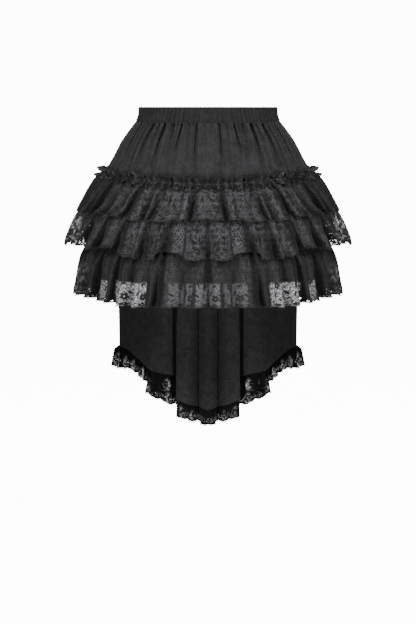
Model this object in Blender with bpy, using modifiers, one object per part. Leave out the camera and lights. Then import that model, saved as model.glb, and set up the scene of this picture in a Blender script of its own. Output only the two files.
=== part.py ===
"""A short black skirt with an elastic waistband, a gathered yoke, three lace tiers and
a long back panel with a gathered lace edge, standing open as it does when worn.

Sizes are in millimetres up to the point where a mesh is made, and metres from there.
+X is the wearer's left, -Y the front, +Z up. The origin is the centre of the waistband.
A turn is an angle about +Z in degrees: 0 at the centre front, 90 at the +X side seam
and 180 at the centre back. A drop is a distance below the top rim of the waistband.
"""

import math
from collections import namedtuple

import bpy

MM = 0.001
BAND_HEIGHT = 28.0
RIM_HEIGHT = BAND_HEIGHT / 2
SEAM_GAP = 0.3
# Measured straight down; the panel's hem is so steep that its lace is closer than that.
HEM_SEAM_GAP = 0.8
BAND_DROP = BAND_HEIGHT - SEAM_GAP
BAND_WALL = 2.0
CLOTH_WALL = 1.3
LACE_WALL = 1.2

# A ring of cloth: half its width, half its depth in front and behind, its drop at the
# side, front and back, and the share of its folds' depth that is reached there.
Ring = namedtuple("Ring", "wide front back side_drop front_drop back_drop fold")

BAND_RINGS = [
    Ring(128, 90, 91, 0, 0, 0, 0.7),
    Ring(134, 95, 97, BAND_DROP, BAND_DROP, BAND_DROP, 1),
]
YOKE_RINGS = [
    Ring(134, 95, 97, BAND_HEIGHT, BAND_HEIGHT, BAND_HEIGHT, 1),
    Ring(158, 112, 119, 60, 66, 64, 1),
    Ring(175, 125, 135, 91, 101, 98, 0.7),
    Ring(191, 136, 144, 118, 136, 131, 0.3),
]
# The yoke slants, so the inner edge of its wall reaches below its outer edge.
BASE_DROP = 0.95
BASE_TOP = Ring(191, 136, 144, 118 + BASE_DROP, 136 + BASE_DROP, 131 + BASE_DROP, 0)
BASE_HEM = Ring(200, 150, 163, 305, 308, 308, 0)

# Where tiers 2 and 3 are sewn on: the share of the way from the base's top to its hem,
# how far their walls stand off it, and the share of their folds' depth on that line.
TIER_2_SEAM = 0.22
TIER_3_SEAM = 0.58
TIER_STAND_OFF = LACE_WALL + 1.4
TIER_TOP_FOLD = 0.1
TIER_1_RINGS = [
    Ring(193.2, 138.2, 146.2, 117.5, 135.5, 130.5, 0.1),
    Ring(213, 153, 161, 135, 152, 148, 0.5),
    Ring(236, 168, 178, 173, 183, 180, 1.1),
    Ring(244, 173, 183, 188, 198, 195, 1.25),
]
TIER_2_RINGS = [
    Ring(228, 161, 171, 188, 203, 198, 0.5),
    Ring(261, 184, 193, 230, 246, 241, 1.1),
    Ring(268, 190, 198, 245, 261, 256, 1.25),
]
TIER_3_RINGS = [
    Ring(236, 167, 180, 268, 280, 276, 0.5),
    Ring(251, 175, 190, 324, 331, 328, 1.1),
    Ring(255, 178, 194, 339, 346, 343, 1.25),
]
FRILL_RINGS = [
    Ring(193.2, 138.2, 146.2, 117.2, 135.2, 130.2, 0.1),
    Ring(199, 144, 152, 108, 126, 121, 1),
]

# The valleys of the folds on one half, from the centre front to the centre back.
Fold = namedtuple("Fold", "turn depth")

YOKE_FOLDS = [
    Fold(0, 1.2), Fold(8, 3.2), Fold(12.5, 1.4), Fold(17, 2.0), Fold(22, 3.0),
    Fold(27.5, 1.6), Fold(34.5, 2.6), Fold(45, 2.4), Fold(53, 2.8), Fold(62.5, 3.2),
    Fold(75, 2.4), Fold(90, 2.4), Fold(99, 2.2), Fold(108, 3.0), Fold(119, 2.4),
    Fold(128, 3.0), Fold(139, 2.2), Fold(147, 2.8), Fold(158, 2.4), Fold(170, 3.0),
    Fold(180, 1.6),
]
TIER_1_FOLDS = [
    Fold(0, 5), Fold(6, 8), Fold(16, 4), Fold(23, 7), Fold(36, 8), Fold(50, 6),
    Fold(60, 8), Fold(75, 6), Fold(90, 6), Fold(104, 8), Fold(117, 6), Fold(128, 8),
    Fold(141, 7), Fold(153, 8), Fold(168, 7), Fold(180, 6),
]
TIER_2_FOLDS = [
    Fold(0, 10), Fold(8, 5), Fold(16, 9), Fold(26, 10), Fold(37.5, 9), Fold(48, 8),
    Fold(58, 9), Fold(73, 6), Fold(90, 6), Fold(102, 7), Fold(116, 9), Fold(129, 8),
    Fold(139, 9), Fold(154, 8), Fold(166, 8), Fold(180, 9),
]
TIER_3_FOLDS = [
    Fold(0, 8), Fold(7.5, 5), Fold(21, 8), Fold(29, 6), Fold(42, 9), Fold(56, 9),
    Fold(66, 6), Fold(77, 6), Fold(90, 6), Fold(105, 8), Fold(115, 7), Fold(130, 9),
    Fold(144, 8), Fold(155, 9), Fold(169, 8), Fold(180, 7),
]
FOLD_ROUNDNESS = 0.75
YOKE_COLUMNS_A_FOLD = 3
TIER_COLUMNS_A_FOLD = 4
BASE_COLUMN_TURN = 5
FRILL_CURLS = 36
FRILL_CURL_DEPTH = 4.5
FRILL_COLUMNS_A_CURL = 4

# The back panel's hem on one half: the turn on the yoke's seam that each point hangs from,
# its distance from the centre, its depth behind the origin and its drop. From the side
# edge it runs inwards, turns back behind itself in a deep flute that hangs lower, and
# comes forward again to the centre flute, which stands in front.
HemPoint = namedtuple("HemPoint", "turn across behind drop")

PANEL_HEM = [
    HemPoint(90, 170, 60, 454),
    HemPoint(100, 158, 92, 466),
    HemPoint(110, 143, 118, 484),
    HemPoint(120, 128, 134, 502),
    HemPoint(130, 113, 145, 517),
    HemPoint(140, 90, 150, 524),
    HemPoint(149, 66, 151, 528),
    HemPoint(151, 57, 157, 530),
    HemPoint(152.5, 67, 163, 531),
    HemPoint(154, 96, 165, 532),
    HemPoint(155.5, 114, 167, 534),
    HemPoint(156.5, 119, 172, 537),
    HemPoint(157.5, 112, 177, 544),
    HemPoint(159, 82, 178, 558),
    HemPoint(160.5, 60, 176, 564),
    HemPoint(161.5, 48, 169, 567),
    HemPoint(162.5, 45, 158, 569),
    HemPoint(163.5, 50, 146, 571),
    HemPoint(164.5, 61, 139, 573),
    HemPoint(165.5, 61, 132, 575),
    HemPoint(168, 46, 129, 580),
    HemPoint(172.5, 24, 137, 588),
    HemPoint(175, 16, 141, 590),
    HemPoint(177.5, 8, 133, 593),
    HemPoint(180, 0, 131, 594),
]
# How far each row of the back panel has fallen, and how far it has changed from the
# seam's ring to the hem's line.
PanelRow = namedtuple("PanelRow", "fall change")

PANEL_ROWS = [
    PanelRow(0, 0), PanelRow(0.13, 0.02), PanelRow(0.28, 0.06), PanelRow(0.46, 0.64),
    PanelRow(0.7, 0.93), PanelRow(1, 1),
]
HEM_STEP = 10.0

TRIM_HEIGHT = 36.0
TRIM_SCALLOP = 4.0
TRIM_WAVES = 22
TRIM_WAVE_DEPTH = 3.5
TRIM_FLARE = 10.0

# One lace gap in a cell of the cloth: its share of the cell across and down, and how
# far it leans.
Gap = namedtuple("Gap", "across down lean")

TIER_GAP_ROW = 2
TRIM_GAP_ROW = 1
TRIM_GAP_SPACING = 2
GAPS = [Gap(0.46, 0.46, 0.08), Gap(0.4, 0.56, -0.1), Gap(0.5, 0.42, 0.0)]


def make_material(name, shade, roughness, sheen):
    material = bpy.data.materials.new(name)
    material.use_nodes = True
    shader = material.node_tree.nodes["Principled BSDF"]
    shader.inputs["Base Color"].default_value = (shade, shade, shade * 1.04, 1)
    shader.inputs["Roughness"].default_value = roughness
    shader.inputs["Sheen Weight"].default_value = sheen
    return material


def ring_point(ring, turn, out):
    """The point of a ring at a turn, moved outwards along the ring's normal."""
    side = math.sin(math.radians(turn))
    ahead = math.cos(math.radians(turn))
    depth, end_drop = (ring.front, ring.front_drop) if ahead > 0 else (ring.back, ring.back_drop)
    drop = ring.side_drop + (end_drop - ring.side_drop) * ahead * ahead
    normal = (side / ring.wide, -ahead / depth)
    length = math.hypot(*normal)
    x = ring.wide * side + out * normal[0] / length
    y = -depth * ahead + out * normal[1] / length
    return x, y, RIM_HEIGHT - drop


def between(low, high, share, wider=0.0):
    """The ring a share of the way from one ring to another, made wider all round."""
    values = [a + (b - a) * share for a, b in zip(low, high)]
    return Ring(*(v + wider for v in values[:3]), *values[3:])


def fold_columns(folds, steps):
    """Columns from the centre front to the centre back: a turn and how far each lies
    below the crests. Valleys are narrow and crests are round."""
    columns = []
    for start, end in zip(folds, folds[1:]):
        for step in range(steps):
            share = step / steps
            depth = start.depth + (end.depth - start.depth) * share
            crest = math.sin(math.pi * share) ** FOLD_ROUNDNESS
            columns.append((start.turn + (end.turn - start.turn) * share, -depth * (1 - crest)))
    columns.append((folds[-1].turn, -folds[-1].depth))
    return columns


def front_half(columns):
    right = [c for c in columns if c[0] <= 90]
    return [(-turn, out) for turn, out in reversed(right) if turn > 0] + right


def back_half(columns):
    right = [c for c in columns if c[0] >= 90]
    return right + [(360 - turn, out) for turn, out in reversed(right) if turn < 180]


def all_round(columns):
    return columns + [(360 - turn, out) for turn, out in reversed(columns) if 0 < turn < 180]


def ring_rows(rings, columns):
    return [[ring_point(ring, turn, out * ring.fold) for turn, out in columns] for ring in rings]


def part_at_side_seams(rows, behind):
    """Moves a half's two edges away from the side seams' plane, by half the seam gap."""
    away = SEAM_GAP / 2 if behind else -SEAM_GAP / 2
    for row in rows:
        for end in (0, -1):
            x, _, z = row[end]
            row[end] = (x, away, z)
    return rows


def cell_point(corners, across, down):
    """A point of a cell, from its corners: upper left, upper right, lower right, left."""
    weights = ((1 - across) * (1 - down), across * (1 - down), across * down, (1 - across) * down)
    return tuple(sum(w * c[k] for w, c in zip(weights, corners)) for k in range(3))


def cloth(name, rows, wall, material, collection, closed=False, gaps=None):
    """One piece of cloth: a grid of points, top row first and anticlockwise from above,
    with lace gaps in the cells that gaps names, given its wall by Solidify."""
    gaps = gaps or {}
    across = len(rows[0])
    points = [point for row in rows for point in row]
    faces = []
    for r in range(len(rows) - 1):
        for c in range(across if closed else across - 1):
            after = (c + 1) % across
            cell = [r * across + c, r * across + after, (r + 1) * across + after, (r + 1) * across + c]
            gap = gaps.get((r, c))
            if gap is None:
                faces.append(cell[::-1])
                continue
            left, right = 0.5 - gap.across / 2, 0.5 + gap.across / 2
            upper, lower = 0.5 - gap.down / 2, 0.5 + gap.down / 2
            corners = [points[i] for i in cell]
            inner = [
                cell_point(corners, left + gap.lean, upper),
                cell_point(corners, right + gap.lean, upper),
                cell_point(corners, right - gap.lean, lower),
                cell_point(corners, left - gap.lean, lower),
            ]
            first = len(points)
            points.extend(inner)
            for k in range(4):
                n = (k + 1) % 4
                faces.append([cell[n], cell[k], first + k, first + n])
    mesh = bpy.data.meshes.new(name)
    mesh.from_pydata([tuple(v * MM for v in p) for p in points], [], faces)
    mesh.materials.append(material)
    mesh.shade_smooth()
    piece = bpy.data.objects.new(name, mesh)
    collection.objects.link(piece)
    solidify = piece.modifiers.new("wall", "SOLIDIFY")
    solidify.thickness = wall * MM
    solidify.offset = -1
    return piece


def lace_gaps(row, columns, every):
    """A gap in every so many cells of one row, the three forms by turns, with whole
    cells left beside the seams."""
    cells = range(2, columns - 3, every)
    return {(row, c): GAPS[k % len(GAPS)] for k, c in enumerate(cells)}


HALVES = (("front", front_half, False), ("back", back_half, True))

# One lace tier: its rings from its seam to its hem, its folds, and how many cells of its
# hem band there are to each lace gap.
Tier = namedtuple("Tier", "name rings folds gap_spacing")


def sewn_ring(share):
    ring = between(BASE_TOP, BASE_HEM, share, wider=TIER_STAND_OFF)
    return ring._replace(fold=TIER_TOP_FOLD)


def tiers():
    return (
        Tier("tier_1", TIER_1_RINGS, TIER_1_FOLDS, 3),
        Tier("tier_2", [sewn_ring(TIER_2_SEAM)] + TIER_2_RINGS, TIER_2_FOLDS, 2),
        Tier("tier_3", [sewn_ring(TIER_3_SEAM)] + TIER_3_RINGS, TIER_3_FOLDS, 2),
    )


def frill_columns():
    count = FRILL_CURLS * FRILL_COLUMNS_A_CURL
    columns = []
    for i in range(count):
        phase = 2 * math.pi * i / FRILL_COLUMNS_A_CURL
        columns.append((360 * i / count, FRILL_CURL_DEPTH * math.sin(phase + math.pi / 4)))
    return columns


def panel_hem_line():
    """The back panel's hem from the +X edge to the -X edge, smoothed through its points, in
    steps of about the same length."""
    half = PANEL_HEM
    line = []
    for i in range(len(half) - 1):
        before, start = half[max(i - 1, 0)], half[i]
        end, after = half[i + 1], half[min(i + 2, len(half) - 1)]
        steps = max(1, round(math.dist(start[1:], end[1:]) / HEM_STEP))
        for step in range(steps):
            t = step / steps
            line.append(HemPoint(*(
                0.5 * (2 * b + (c - a) * t + (2 * a - 5 * b + 4 * c - d) * t ** 2
                       + (3 * b - a - 3 * c + d) * t ** 3)
                for a, b, c, d in zip(before, start, end, after))))
    other = [HemPoint(360 - p.turn, -p.across, p.behind, p.drop) for p in reversed(line)]
    return line + [half[-1]] + other


def panel_rows():
    """The back panel, from the yoke's seam to its hem."""
    hem = panel_hem_line()
    rows = []
    for row in PANEL_ROWS:
        points = []
        for point in hem:
            top = ring_point(BASE_TOP, point.turn, 0)
            hem_height = RIM_HEIGHT - point.drop
            points.append((
                top[0] + (point.across - top[0]) * row.change,
                top[1] + (point.behind - top[1]) * row.change,
                top[2] + (hem_height - top[2]) * row.fall,
            ))
        rows.append(points)
    for end in (0, -1):
        x, _, z = rows[0][end]
        rows[0][end] = (x, SEAM_GAP / 2, z)
    return rows


def trim_rows():
    """The gathered lace along the panel's hem, in waves that grow towards its scallops."""
    hem = panel_hem_line()
    runs = [0.0]
    for a, b in zip(hem, hem[1:]):
        runs.append(runs[-1] + math.hypot(b.across - a.across, b.behind - a.behind))
    rows = []
    for share_down in (0, 0.5, 1):
        points = []
        for i, (_, x, y, drop) in enumerate(hem):
            before, after = hem[max(i - 1, 0)], hem[min(i + 1, len(hem) - 1)]
            run_x, run_y = after.across - before.across, after.behind - before.behind
            run = math.hypot(run_x, run_y)
            phase = 2 * math.pi * TRIM_WAVES * runs[i] / runs[-1]
            out = TRIM_WAVE_DEPTH * math.sin(phase) * share_down
            flare = TRIM_FLARE * share_down * x / PANEL_HEM[0].across
            scallop = TRIM_SCALLOP * abs(math.sin(phase / 2)) * share_down ** 2
            height = RIM_HEIGHT - drop - HEM_SEAM_GAP - (TRIM_HEIGHT - TRIM_SCALLOP) * share_down
            points.append((x + run_y / run * out + flare, y - run_x / run * out, height - scallop))
        rows.append(points)
    return rows


def build():
    for old in list(bpy.data.objects):
        bpy.data.objects.remove(old)
    skirt = bpy.data.collections.new("lace_skirt")
    bpy.context.scene.collection.children.link(skirt)

    elastic = make_material("elastic_casing", 0.022, 0.8, 0.3)
    plain = make_material("plain_cloth", 0.026, 0.85, 0.4)
    lace = make_material("lace", 0.034, 0.7, 0.3)

    yoke_columns = fold_columns(YOKE_FOLDS, YOKE_COLUMNS_A_FOLD)
    band_rows = ring_rows(BAND_RINGS, all_round(yoke_columns))
    cloth("waistband", band_rows, BAND_WALL, elastic, skirt, closed=True)
    for name, half, behind in HALVES:
        rows = part_at_side_seams(ring_rows(YOKE_RINGS, half(yoke_columns)), behind)
        cloth(f"yoke_{name}", rows, CLOTH_WALL, plain, skirt)

    base_rings = [between(BASE_TOP, BASE_HEM, share) for share in (0, 0.5, 1)]
    base_columns = [(turn, 0) for turn in range(-90, 91, BASE_COLUMN_TURN)]
    base_rows = part_at_side_seams(ring_rows(base_rings, base_columns), False)
    cloth("base_front", base_rows, CLOTH_WALL, plain, skirt)

    cloth("back_panel", panel_rows(), CLOTH_WALL, plain, skirt)
    trim = trim_rows()
    trim_gaps = lace_gaps(TRIM_GAP_ROW, len(trim[0]), TRIM_GAP_SPACING)
    cloth("panel_trim", trim, LACE_WALL, lace, skirt, gaps=trim_gaps)

    frill = ring_rows(FRILL_RINGS, frill_columns())
    cloth("heading_frill", frill, LACE_WALL, lace, skirt, closed=True)

    for tier in tiers():
        columns = fold_columns(tier.folds, TIER_COLUMNS_A_FOLD)
        for name, half, behind in HALVES:
            rows = part_at_side_seams(ring_rows(tier.rings, half(columns)), behind)
            gaps = lace_gaps(TIER_GAP_ROW, len(rows[0]), tier.gap_spacing)
            cloth(f"{tier.name}_{name}", rows, LACE_WALL, lace, skirt, gaps=gaps)


build()
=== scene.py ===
# %% [markdown]
# # A tiered lace skirt with a long back panel
# The skirt hangs as it does when worn: an elastic waistband, a yoke gathered into it, three
# lace tiers that stand out from a plain base, and a long plain panel behind, edged with
# gathered lace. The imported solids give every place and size. This script puts a thin, detailed
# sheet of cloth in the place of each plain solid.

# %% The frame
import math
from collections import namedtuple

import bpy
import numpy as np
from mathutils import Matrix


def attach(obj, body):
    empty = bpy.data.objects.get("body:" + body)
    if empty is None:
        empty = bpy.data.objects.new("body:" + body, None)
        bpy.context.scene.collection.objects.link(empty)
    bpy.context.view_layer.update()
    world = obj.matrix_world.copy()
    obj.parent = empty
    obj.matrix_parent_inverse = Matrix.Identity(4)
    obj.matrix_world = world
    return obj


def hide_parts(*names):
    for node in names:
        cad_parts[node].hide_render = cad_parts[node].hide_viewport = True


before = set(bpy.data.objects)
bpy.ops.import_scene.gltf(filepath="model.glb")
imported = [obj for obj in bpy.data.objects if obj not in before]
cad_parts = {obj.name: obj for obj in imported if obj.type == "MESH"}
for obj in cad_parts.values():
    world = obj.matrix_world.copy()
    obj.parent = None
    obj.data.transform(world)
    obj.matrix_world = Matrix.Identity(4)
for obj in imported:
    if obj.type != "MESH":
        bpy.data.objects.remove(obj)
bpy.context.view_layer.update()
MM = 0.001
print("nodes:", sorted(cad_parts))

# %% [markdown]
# The camera stands level with the waistband and looks a little down, as in a catalogue
# picture. Its focal length is worked out from the waistband's width in the picture. It could
# be set by eye, but then the skirt's real size and its size in the picture wouldn't agree.

# %% The camera
# Places are in metres, the pitch in degrees, and picture sizes in picture points.
PICTURE_HEIGHT = 624
CAMERA_DISTANCE = 2.8
CAMERA_HEIGHT = 0.014
CAMERA_PITCH = 7.735
FOCAL_PIXELS = 1511
SENSOR_HEIGHT = 24.0

camera_data = bpy.data.cameras.new("camera")
camera_data.sensor_fit = "VERTICAL"
camera_data.sensor_height = SENSOR_HEIGHT
camera_data.lens = SENSOR_HEIGHT * FOCAL_PIXELS / PICTURE_HEIGHT
camera = bpy.data.objects.new("camera", camera_data)
camera.location = (0, -CAMERA_DISTANCE, CAMERA_HEIGHT)
camera.rotation_euler = (math.radians(90 - CAMERA_PITCH), 0, 0)
bpy.context.scene.collection.objects.link(camera)
bpy.context.scene.camera = camera
print("lens", round(camera_data.lens, 1), "mm")

# %% [markdown]
# Colours are picked as sRGB hex values, as a paint program shows them, and Blender's shaders
# want linear light, so one function turns one into the other. Another adds a node with its
# settings and links, which keeps every material readable.

# %% Colour and node helpers
def linear(hex_colour):
    channels = [int(hex_colour[i:i + 2], 16) / 255 for i in (1, 3, 5)]
    return tuple(c / 12.92 if c <= 0.04045 else ((c + 0.055) / 1.055) ** 2.4
                 for c in channels) + (1,)


def add_node(tree, kind, inputs=None, **settings):
    node = tree.nodes.new(kind)
    for name, value in settings.items():
        setattr(node, name, value)
    for name, value in (inputs or {}).items():
        if isinstance(value, bpy.types.NodeSocket):
            tree.links.new(value, node.inputs[name])
        else:
            node.inputs[name].default_value = value
    return node


def new_material(name):
    material = bpy.data.materials.new(name)
    material.use_nodes = True
    tree = material.node_tree
    return material, tree, tree.nodes["Principled BSDF"]

# %% [markdown]
# The studio is a round cove of pale paper: a floor that turns up into a wall with no corner, all
# the way round. It could be a flat floor and a wall, but the line between them would show. It
# lies about a metre below the waist, as the floor does under a worn skirt, so no shadow falls
# in the picture. The paper glows by itself and gives no light to the cloth. The cloth is lit by
# softboxes: high ones that rake across the folds, low ones, two behind and one in the middle.

# %% The studio
FLOOR_HEIGHT = -1.02
COVE_RADIUS = 5.0
COVE_CURVE = 1.5
COVE_TOP = 6.0
COVE_SIDES = 64
COVE_STEPS = 12
PAPER_GLOW = 13.0
AIR_LIGHT = 0.05

cove_profile = [(0.01, FLOOR_HEIGHT)]
for step in range(COVE_STEPS + 1):
    angle = math.radians(90 * step / COVE_STEPS)
    cove_profile.append((COVE_RADIUS - COVE_CURVE + COVE_CURVE * math.sin(angle),
                         FLOOR_HEIGHT + COVE_CURVE * (1 - math.cos(angle))))
cove_profile.append((COVE_RADIUS, COVE_TOP))
cove_points = []
for radius, height in cove_profile:
    for side in range(COVE_SIDES):
        angle = 2 * math.pi * side / COVE_SIDES
        cove_points.append((radius * math.cos(angle), radius * math.sin(angle), height))
cove_faces = []
for row in range(len(cove_profile) - 1):
    for side in range(COVE_SIDES):
        here, after = row * COVE_SIDES + side, row * COVE_SIDES + (side + 1) % COVE_SIDES
        cove_faces.append((here, after, after + COVE_SIDES, here + COVE_SIDES))
cove_faces.append(tuple(reversed(range(COVE_SIDES))))
cove_mesh = bpy.data.meshes.new("cove")
cove_mesh.from_pydata(cove_points, [], cove_faces)
cove_mesh.shade_smooth()
cove = bpy.data.objects.new("cove", cove_mesh)
bpy.context.scene.collection.objects.link(cove)
paper, _, paper_shader = new_material("white_paper_cove")
paper_shader.inputs["Base Color"].default_value = linear("#f4f4f4")
paper_shader.inputs["Roughness"].default_value = 0.9
paper_shader.inputs["Emission Color"].default_value = (1, 1, 1, 1)
paper_shader.inputs["Emission Strength"].default_value = PAPER_GLOW
cove_mesh.materials.append(paper)
cove.visible_diffuse = False
cove.visible_glossy = False

Softbox = namedtuple("Softbox", "name place target width height power")
SOFTBOXES = [
    Softbox("high", (-1.45, -1.8, 1.2), (0, -0.05, -0.2), 0.5, 0.5, 29),
    Softbox("low", (-1.5, -1.6, -0.52), (0, 0.05, -0.38), 0.5, 0.4, 24),
    Softbox("high", (1.45, -1.8, 1.2), (0, -0.05, -0.2), 0.5, 0.5, 29),
    Softbox("low", (1.5, -1.6, -0.52), (0, 0.05, -0.38), 0.5, 0.4, 24),
    Softbox("behind", (-1.0, 2.4, 0.9), (0, 0.05, -0.3), 0.6, 0.5, 22),
    Softbox("behind", (1.0, 2.4, 0.9), (0, 0.05, -0.3), 0.6, 0.5, 22),
    Softbox("centre", (0.0, -2.0, 1.2), (0, 0, -0.2), 0.5, 0.4, 13),
]
for softbox in SOFTBOXES:
    data = bpy.data.lights.new(softbox.name, "AREA")
    data.shape = "RECTANGLE"
    data.size = softbox.width
    data.size_y = softbox.height
    data.energy = softbox.power
    lamp = bpy.data.objects.new(softbox.name, data)
    lamp.location = softbox.place
    aim = np.array(softbox.target, float) - np.array(softbox.place, float)
    lamp.rotation_euler = (math.atan2(math.hypot(aim[0], aim[1]), -aim[2]), 0,
                           math.atan2(aim[1], aim[0]) - math.pi / 2)
    bpy.context.scene.collection.objects.link(lamp)
world = bpy.data.worlds.new("studio_air")
world.use_nodes = True
world.node_tree.nodes["Background"].inputs["Color"].default_value = (1, 1, 1, 1)
world.node_tree.nodes["Background"].inputs["Strength"].default_value = AIR_LIGHT
bpy.context.scene.world = world
print("studio ready,", len(SOFTBOXES), "softboxes")

# %% [markdown]
# The yoke and the back panel are a brushed polyester knit. Its short nap scatters light, so it
# is matt with a faint sheen at grazing angles, and it is pressed down in soft patches a
# centimetre or two across, which show as a slight mottle. Hair would show each fibre, but at
# this size only the mottle is seen, so two sizes of noise are enough. The casing is the same
# knit, a little darker and smoother, because the elastic stretches it.

# %% Brushed knit
# Sizes are in millimetres. The grain is drawn coarser than the real nap, so that it shows.
NAP_PATCH = 15.0
NAP_GRAIN = 2.2


def brushed_knit(name, dark, light, sheen):
    material, tree, shader = new_material(name)
    place = add_node(tree, "ShaderNodeTexCoord").outputs["Object"]
    patch = add_node(tree, "ShaderNodeTexNoise", {
        "Vector": place, "Scale": 1000 / NAP_PATCH, "Detail": 3.0, "Roughness": 0.6})
    grain = add_node(tree, "ShaderNodeTexNoise", {
        "Vector": place, "Scale": 1000 / NAP_GRAIN, "Detail": 2.0})
    both = add_node(tree, "ShaderNodeMath", {
        0: patch.outputs["Fac"], 1: grain.outputs["Fac"]}, operation="ADD")
    tone = add_node(tree, "ShaderNodeMapRange", {
        "Value": both.outputs[0], "From Min": 0.7, "From Max": 1.3})
    # Sockets 6 and 7 of a Mix node are its two colours; their names stand for numbers too.
    colour = add_node(tree, "ShaderNodeMix", {
        0: tone.outputs[0], 6: linear(dark), 7: linear(light)}, data_type="RGBA")
    rough = add_node(tree, "ShaderNodeMapRange", {
        "Value": patch.outputs["Fac"], "To Min": 0.72, "To Max": 0.95})
    bump = add_node(tree, "ShaderNodeBump", {
        "Height": grain.outputs["Fac"], "Strength": 0.35, "Distance": 0.4 * MM})
    tree.links.new(colour.outputs[2], shader.inputs["Base Color"])
    tree.links.new(rough.outputs[0], shader.inputs["Roughness"])
    tree.links.new(bump.outputs[0], shader.inputs["Normal"])
    shader.inputs["Sheen Weight"].default_value = sheen
    shader.inputs["Sheen Roughness"].default_value = 0.45
    shader.inputs["Specular IOR Level"].default_value = 0.25
    return material


knit = brushed_knit("brushed_black_knit", "#1d1d1e", "#363638", 0.08)
casing = brushed_knit("elastic_casing_knit", "#19191a", "#2b2b2c", 0.05)
print("knits:", knit.name, casing.name)

# %% [markdown]
# The lace is a machine lace: flowers and leaves of dense thread on an open net. The places of
# the flowers are charted further down and stored on the mesh as attributes, so the drawing
# follows the cloth. The shader draws what is finer: the diamond net, the pores in the flowers,
# the ribs and vines of stitches, and the satin of the thread. The holes of the net are drawn
# dark, because a layer lies close behind them. Only the open eyelets let light through.
# Modelled threads would be truer close up, but they would need millions of faces.
# Painted shade darkens the colour in folds, curls and flanks, and painted pale light with bright
# specks stands in patches, for light seen through the lace.

# %% Machine lace
# Pitches, radii and rises are in millimetres on the flat cloth. The net and the ribs are drawn
# coarser than real thread spacing, so that they show. The other numbers are shares of a pitch
# or of a tone.
NET_PITCH = 5.4
NET_SLOPE = 0.8
NET_THREAD = 0.42
NET_LEAST = 0.36
NET_GLINT = 0.42
PORE_PITCH = 4.6
PORE_SHARE = 0.27
EYELET_PITCH = 4.0
EYELET_RADIUS = 1.3
TONE_PITCH = 6.0
RIB_PITCH = 7.5
RIB_SCALLOP = 21.0
RIB_RISE = 2.6
RIB_STRENGTH = 0.12
VINE_PITCH = 13.0
VINE_WIDTH = 0.032
FLOWER_LIGHT = 0.2
LEAF_SHADE = -0.5
PAINTED_SHADE_STRENGTH = 0.88
CLOUD_PITCH = 3.4
PALE_NET_SHADE = -0.22
SPECK_PITCH = 3.6
SPECK_SHARE = 0.3
# Painted light: the pale grey and the bright specks drawn in the see-through patches.
PAINTED_PALE_GREY = "#838386"
PAINTED_LIGHT_SPECK = "#e4e4e6"
PALE_MOTIF = "#1f1f21"
Vine = namedtuple("Vine", "shift strength")
VINES = [Vine(0.0, 0.34), Vine(7.3, -0.34)]


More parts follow.
